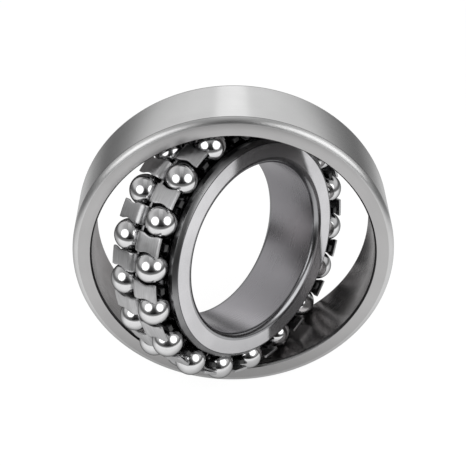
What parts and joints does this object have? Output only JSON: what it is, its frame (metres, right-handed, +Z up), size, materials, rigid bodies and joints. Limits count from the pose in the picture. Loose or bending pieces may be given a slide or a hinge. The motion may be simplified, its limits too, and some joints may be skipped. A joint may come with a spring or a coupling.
{
  "type": "self-aligning ball bearing",
  "caption": "Self-aligning ball bearing with a stamped cage, its inner ring and balls swung out of the outer ring's spherical raceway.",
  "frame": {"origin": "centre of the outer ring's spherical raceway, which is also the centre of the inner ring", "axes": "+Y along the outer ring's axis from its front side to its rear, +Z up, +X to the right as seen from the front"},
  "size_m": [0.09, 0.0668, 0.09],
  "materials": {
    "outer_ring_steel": "ground outside cylinder and faces, polished raceway",
    "inner_ring_steel": "ground bore and faces, polished grooves",
    "cage_steel": "stamped sheet steel, tumbled to a dull grey",
    "ball_steel": "mirror-polished bearing steel"
  },
  "bodies": {
    "outer_ring": {"outer_ring": "outer_ring_steel"},
    "cage": {"cage": "cage_steel"},
    "inner_ring": {"inner_ring": "inner_ring_steel"},
    "ball_front_01": {"ball_front_01": "ball_steel"},
    "ball_front_02": {"ball_front_02": "ball_steel"},
    "ball_front_03": {"ball_front_03": "ball_steel"},
    "ball_front_04": {"ball_front_04": "ball_steel"},
    "ball_front_05": {"ball_front_05": "ball_steel"},
    "ball_front_06": {"ball_front_06": "ball_steel"},
    "ball_front_07": {"ball_front_07": "ball_steel"},
    "ball_front_08": {"ball_front_08": "ball_steel"},
    "ball_front_09": {"ball_front_09": "ball_steel"},
    "ball_front_10": {"ball_front_10": "ball_steel"},
    "ball_front_11": {"ball_front_11": "ball_steel"},
    "ball_front_12": {"ball_front_12": "ball_steel"},
    "ball_front_13": {"ball_front_13": "ball_steel"},
    "ball_front_14": {"ball_front_14": "ball_steel"},
    "ball_front_15": {"ball_front_15": "ball_steel"},
    "ball_front_16": {"ball_front_16": "ball_steel"},
    "ball_front_17": {"ball_front_17": "ball_steel"},
    "ball_front_18": {"ball_front_18": "ball_steel"},
    "ball_rear_01": {"ball_rear_01": "ball_steel"},
    "ball_rear_02": {"ball_rear_02": "ball_steel"},
    "ball_rear_03": {"ball_rear_03": "ball_steel"},
    "ball_rear_04": {"ball_rear_04": "ball_steel"},
    "ball_rear_05": {"ball_rear_05": "ball_steel"},
    "ball_rear_06": {"ball_rear_06": "ball_steel"},
    "ball_rear_07": {"ball_rear_07": "ball_steel"},
    "ball_rear_08": {"ball_rear_08": "ball_steel"},
    "ball_rear_09": {"ball_rear_09": "ball_steel"},
    "ball_rear_10": {"ball_rear_10": "ball_steel"},
    "ball_rear_11": {"ball_rear_11": "ball_steel"},
    "ball_rear_12": {"ball_rear_12": "ball_steel"},
    "ball_rear_13": {"ball_rear_13": "ball_steel"},
    "ball_rear_14": {"ball_rear_14": "ball_steel"},
    "ball_rear_15": {"ball_rear_15": "ball_steel"},
    "ball_rear_16": {"ball_rear_16": "ball_steel"},
    "ball_rear_17": {"ball_rear_17": "ball_steel"},
    "ball_rear_18": {"ball_rear_18": "ball_steel"}
  },
  "joints": [
    {"name": "ring_swing", "type": "hinge", "parent": "outer_ring", "child": "cage", "pos_m": [0, 0, 0], "axis": [-0.184, 0, 0.9829], "range_deg": [-136, 44]},
    {"name": "inner_ring_spin", "type": "hinge", "parent": "cage", "child": "inner_ring", "pos_m": [0, 0, 0], "axis": [0.7071, -0.6947, 0.1323], "continuous": true},
    {"name": "ball_front_01_roll", "type": "hinge", "parent": "cage", "child": "ball_front_01", "pos_m": [-0.00606, -0.00647, 0.03507], "axis": [0.7362, -0.6768, 0.0024], "continuous": true},
    {"name": "ball_front_02_roll", "type": "hinge", "parent": "cage", "child": "ball_front_02", "pos_m": [-0.01353, -0.01504, 0.02999], "axis": [0.7641, -0.6448, 0.0214], "continuous": true},
    {"name": "ball_front_03_roll", "type": "hinge", "parent": "cage", "child": "ball_front_03", "pos_m": [-0.01895, -0.0222, 0.02137], "axis": [0.7844, -0.618, 0.0536], "continuous": true},
    {"name": "ball_front_04_roll", "type": "hinge", "parent": "cage", "child": "ball_front_04", "pos_m": [-0.02167, -0.02709, 0.01025], "axis": [0.7946, -0.5997, 0.0952], "continuous": true},
    {"name": "ball_front_05_roll", "type": "hinge", "parent": "cage", "child": "ball_front_05", "pos_m": [-0.02137, -0.02912, -0.00203], "axis": [0.7934, -0.5921, 0.1411], "continuous": true},
    {"name": "ball_front_06_roll", "type": "hinge", "parent": "cage", "child": "ball_front_06", "pos_m": [-0.01807, -0.02804, -0.01398], "axis": [0.7811, -0.5961, 0.1858], "continuous": true},
    {"name": "ball_front_07_roll", "type": "hinge", "parent": "cage", "child": "ball_front_07", "pos_m": [-0.01219, -0.02399, -0.02418], "axis": [0.7591, -0.6113, 0.224], "continuous": true},
    {"name": "ball_front_08_roll", "type": "hinge", "parent": "cage", "child": "ball_front_08", "pos_m": [-0.00441, -0.01745, -0.03138], "axis": [0.73, -0.6357, 0.2509], "continuous": true},
    {"name": "ball_front_09_roll", "type": "hinge", "parent": "cage", "child": "ball_front_09", "pos_m": [0.0043, -0.00921, -0.03472], "axis": [0.6974, -0.6665, 0.2634], "continuous": true},
    {"name": "ball_front_10_roll", "type": "hinge", "parent": "cage", "child": "ball_front_10", "pos_m": [0.01292, -0.00027, -0.03379], "axis": [0.6652, -0.7, 0.2599], "continuous": true},
    {"name": "ball_front_11_roll", "type": "hinge", "parent": "cage", "child": "ball_front_11", "pos_m": [0.02038, 0.0083, -0.02871], "axis": [0.6373, -0.732, 0.2409], "continuous": true},
    {"name": "ball_front_12_roll", "type": "hinge", "parent": "cage", "child": "ball_front_12", "pos_m": [0.02581, 0.01546, -0.02009], "axis": [0.617, -0.7588, 0.2087], "continuous": true},
    {"name": "ball_front_13_roll", "type": "hinge", "parent": "cage", "child": "ball_front_13", "pos_m": [0.02853, 0.02035, -0.00897], "axis": [0.6068, -0.7771, 0.1671], "continuous": true},
    {"name": "ball_front_14_roll", "type": "hinge", "parent": "cage", "child": "ball_front_14", "pos_m": [0.02823, 0.02238, 0.00331], "axis": [0.6079, -0.7847, 0.1211], "continuous": true},
    {"name": "ball_front_15_roll", "type": "hinge", "parent": "cage", "child": "ball_front_15", "pos_m": [0.02493, 0.0213, 0.01527], "axis": [0.6203, -0.7807, 0.0764], "continuous": true},
    {"name": "ball_front_16_roll", "type": "hinge", "parent": "cage", "child": "ball_front_16", "pos_m": [0.01904, 0.01725, 0.02546], "axis": [0.6423, -0.7655, 0.0383], "continuous": true},
    {"name": "ball_front_17_roll", "type": "hinge", "parent": "cage", "child": "ball_front_17", "pos_m": [0.01127, 0.01071, 0.03266], "axis": [0.6713, -0.7411, 0.0114], "continuous": true},
    {"name": "ball_front_18_roll", "type": "hinge", "parent": "cage", "child": "ball_front_18", "pos_m": [0.00255, 0.00248, 0.036], "axis": [0.704, -0.7102, -0.0011], "continuous": true},
    {"name": "ball_rear_01_roll", "type": "hinge", "parent": "cage", "child": "ball_rear_01", "pos_m": [-0.01685, -0.00413, 0.03174], "axis": [0.6505, -0.7164, 0.2522], "continuous": true},
    {"name": "ball_rear_02_roll", "type": "hinge", "parent": "cage", "child": "ball_rear_02", "pos_m": [-0.0234, -0.01211, 0.02479], "axis": [0.626, -0.7463, 0.2262], "continuous": true},
    {"name": "ball_rear_03_roll", "type": "hinge", "parent": "cage", "child": "ball_rear_03", "pos_m": [-0.02754, -0.01823, 0.01476], "axis": [0.6105, -0.7692, 0.1887], "continuous": true},
    {"name": "ball_rear_04_roll", "type": "hinge", "parent": "cage", "child": "ball_rear_04", "pos_m": [-0.02876, -0.02175, 0.00288], "axis": [0.6059, -0.7823, 0.1443], "continuous": true},
    {"name": "ball_rear_05_roll", "type": "hinge", "parent": "cage", "child": "ball_rear_05", "pos_m": [-0.02694, -0.02223, -0.00942], "axis": [0.6128, -0.7841, 0.0983], "continuous": true},
    {"name": "ball_rear_06_roll", "type": "hinge", "parent": "cage", "child": "ball_rear_06", "pos_m": [-0.02227, -0.01963, -0.02067], "axis": [0.6302, -0.7744, 0.0562], "continuous": true},
    {"name": "ball_rear_07_roll", "type": "hinge", "parent": "cage", "child": "ball_rear_07", "pos_m": [-0.01534, -0.01425, -0.0295], "axis": [0.6561, -0.7543, 0.0232], "continuous": true},
    {"name": "ball_rear_08_roll", "type": "hinge", "parent": "cage", "child": "ball_rear_08", "pos_m": [-0.00697, -0.00675, -0.03485], "axis": [0.6874, -0.7262, 0.0032], "continuous": true},
    {"name": "ball_rear_09_roll", "type": "hinge", "parent": "cage", "child": "ball_rear_09", "pos_m": [0.00183, 0.00197, -0.03607], "axis": [0.7204, -0.6936, -0.0014], "continuous": true},
    {"name": "ball_rear_10_roll", "type": "hinge", "parent": "cage", "child": "ball_rear_10", "pos_m": [0.01, 0.01087, -0.03302], "axis": [0.7509, -0.6604, 0.01], "continuous": true},
    {"name": "ball_rear_11_roll", "type": "hinge", "parent": "cage", "child": "ball_rear_11", "pos_m": [0.01654, 0.01885, -0.02607], "axis": [0.7754, -0.6305, 0.036], "continuous": true},
    {"name": "ball_rear_12_roll", "type": "hinge", "parent": "cage", "child": "ball_rear_12", "pos_m": [0.02068, 0.02497, -0.01605], "axis": [0.7908, -0.6076, 0.0735], "continuous": true},
    {"name": "ball_rear_13_roll", "type": "hinge", "parent": "cage", "child": "ball_rear_13", "pos_m": [0.02191, 0.02848, -0.00417], "axis": [0.7954, -0.5945, 0.1179], "continuous": true},
    {"name": "ball_rear_14_roll", "type": "hinge", "parent": "cage", "child": "ball_rear_14", "pos_m": [0.02008, 0.02897, 0.00814], "axis": [0.7886, -0.5926, 0.164], "continuous": true},
    {"name": "ball_rear_15_roll", "type": "hinge", "parent": "cage", "child": "ball_rear_15", "pos_m": [0.01542, 0.02637, 0.01939], "axis": [0.7712, -0.6024, 0.206], "continuous": true},
    {"name": "ball_rear_16_roll", "type": "hinge", "parent": "cage", "child": "ball_rear_16", "pos_m": [0.00848, 0.02099, 0.02822], "axis": [0.7452, -0.6225, 0.2391], "continuous": true},
    {"name": "ball_rear_17_roll", "type": "hinge", "parent": "cage", "child": "ball_rear_17", "pos_m": [0.00011, 0.01349, 0.03357], "axis": [0.7139, -0.6505, 0.2591], "continuous": true},
    {"name": "ball_rear_18_roll", "type": "hinge", "parent": "cage", "child": "ball_rear_18", "pos_m": [-0.00869, 0.00476, 0.03479], "axis": [0.681, -0.6832, 0.2636], "continuous": true}
  ],
  "couplings": [
    {"joint": "ball_front_01_roll", "follows": "inner_ring_spin", "ratio": -7.2207},
    {"joint": "ball_front_02_roll", "follows": "inner_ring_spin", "ratio": -7.2207},
    {"joint": "ball_front_03_roll", "follows": "inner_ring_spin", "ratio": -7.2207},
    {"joint": "ball_front_04_roll", "follows": "inner_ring_spin", "ratio": -7.2207},
    {"joint": "ball_front_05_roll", "follows": "inner_ring_spin", "ratio": -7.2207},
    {"joint": "ball_front_06_roll", "follows": "inner_ring_spin", "ratio": -7.2207},
    {"joint": "ball_front_07_roll", "follows": "inner_ring_spin", "ratio": -7.2207},
    {"joint": "ball_front_08_roll", "follows": "inner_ring_spin", "ratio": -7.2207},
    {"joint": "ball_front_09_roll", "follows": "inner_ring_spin", "ratio": -7.2207},
    {"joint": "ball_front_10_roll", "follows": "inner_ring_spin", "ratio": -7.2207},
    {"joint": "ball_front_11_roll", "follows": "inner_ring_spin", "ratio": -7.2207},
    {"joint": "ball_front_12_roll", "follows": "inner_ring_spin", "ratio": -7.2207},
    {"joint": "ball_front_13_roll", "follows": "inner_ring_spin", "ratio": -7.2207},
    {"joint": "ball_front_14_roll", "follows": "inner_ring_spin", "ratio": -7.2207},
    {"joint": "ball_front_15_roll", "follows": "inner_ring_spin", "ratio": -7.2207},
    {"joint": "ball_front_16_roll", "follows": "inner_ring_spin", "ratio": -7.2207},
    {"joint": "ball_front_17_roll", "follows": "inner_ring_spin", "ratio": -7.2207},
    {"joint": "ball_front_18_roll", "follows": "inner_ring_spin", "ratio": -7.2207},
    {"joint": "ball_rear_01_roll", "follows": "inner_ring_spin", "ratio": -7.2207},
    {"joint": "ball_rear_02_roll", "follows": "inner_ring_spin", "ratio": -7.2207},
    {"joint": "ball_rear_03_roll", "follows": "inner_ring_spin", "ratio": -7.2207},
    {"joint": "ball_rear_04_roll", "follows": "inner_ring_spin", "ratio": -7.2207},
    {"joint": "ball_rear_05_roll", "follows": "inner_ring_spin", "ratio": -7.2207},
    {"joint": "ball_rear_06_roll", "follows": "inner_ring_spin", "ratio": -7.2207},
    {"joint": "ball_rear_07_roll", "follows": "inner_ring_spin", "ratio": -7.2207},
    {"joint": "ball_rear_08_roll", "follows": "inner_ring_spin", "ratio": -7.2207},
    {"joint": "ball_rear_09_roll", "follows": "inner_ring_spin", "ratio": -7.2207},
    {"joint": "ball_rear_10_roll", "follows": "inner_ring_spin", "ratio": -7.2207},
    {"joint": "ball_rear_11_roll", "follows": "inner_ring_spin", "ratio": -7.2207},
    {"joint": "ball_rear_12_roll", "follows": "inner_ring_spin", "ratio": -7.2207},
    {"joint": "ball_rear_13_roll", "follows": "inner_ring_spin", "ratio": -7.2207},
    {"joint": "ball_rear_14_roll", "follows": "inner_ring_spin", "ratio": -7.2207},
    {"joint": "ball_rear_15_roll", "follows": "inner_ring_spin", "ratio": -7.2207},
    {"joint": "ball_rear_16_roll", "follows": "inner_ring_spin", "ratio": -7.2207},
    {"joint": "ball_rear_17_roll", "follows": "inner_ring_spin", "ratio": -7.2207},
    {"joint": "ball_rear_18_roll", "follows": "inner_ring_spin", "ratio": -7.2207}
  ]
}
